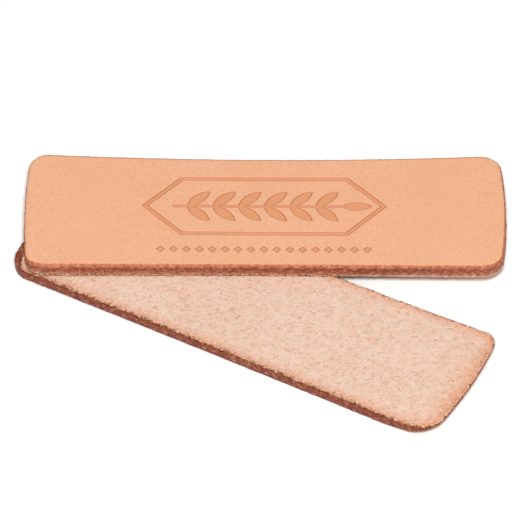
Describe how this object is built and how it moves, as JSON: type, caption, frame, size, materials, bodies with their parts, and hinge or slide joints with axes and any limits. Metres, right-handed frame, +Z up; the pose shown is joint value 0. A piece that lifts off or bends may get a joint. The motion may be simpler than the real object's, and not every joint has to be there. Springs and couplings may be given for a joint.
{
  "type": "leather strop",
  "caption": "Loose flat leather stropping pads, one grain side up laid at an angle over one flesh side up, with rounded stained edges, for polishing carving blades.",
  "frame": {"origin": "on the bench, under the middle of the box round both pads", "axes": "+Z up; +X along the upper pad's long sides; +Y across the upper pad, away from the lower pad's free end"},
  "size_m": [0.1144, 0.083, 0.0068],
  "materials": {
    "grain_face": "smooth undyed vegetable-tanned grain, low sheen",
    "stained_edge": "red-brown edge stain, rounded and burnished",
    "fibre_core": "dense undyed hide fibre",
    "suede_face": "raw flesh side with short brown fibres, matt"
  },
  "bodies": {
    "lower_pad": {"lower_grain_face": "grain_face", "lower_stained_edge": "stained_edge", "lower_fibre_core": "fibre_core", "lower_suede_face": "suede_face"},
    "upper_pad": {"upper_grain_face": "grain_face", "upper_stained_edge": "stained_edge", "upper_fibre_core": "fibre_core", "upper_suede_face": "suede_face"}
  },
  "joints": [
    {"name": "upper_pad_lift", "type": "slide", "parent": "lower_pad", "child": "upper_pad", "axis": [0, 0, 1], "range_m": [0, 0.05]}
  ]
}
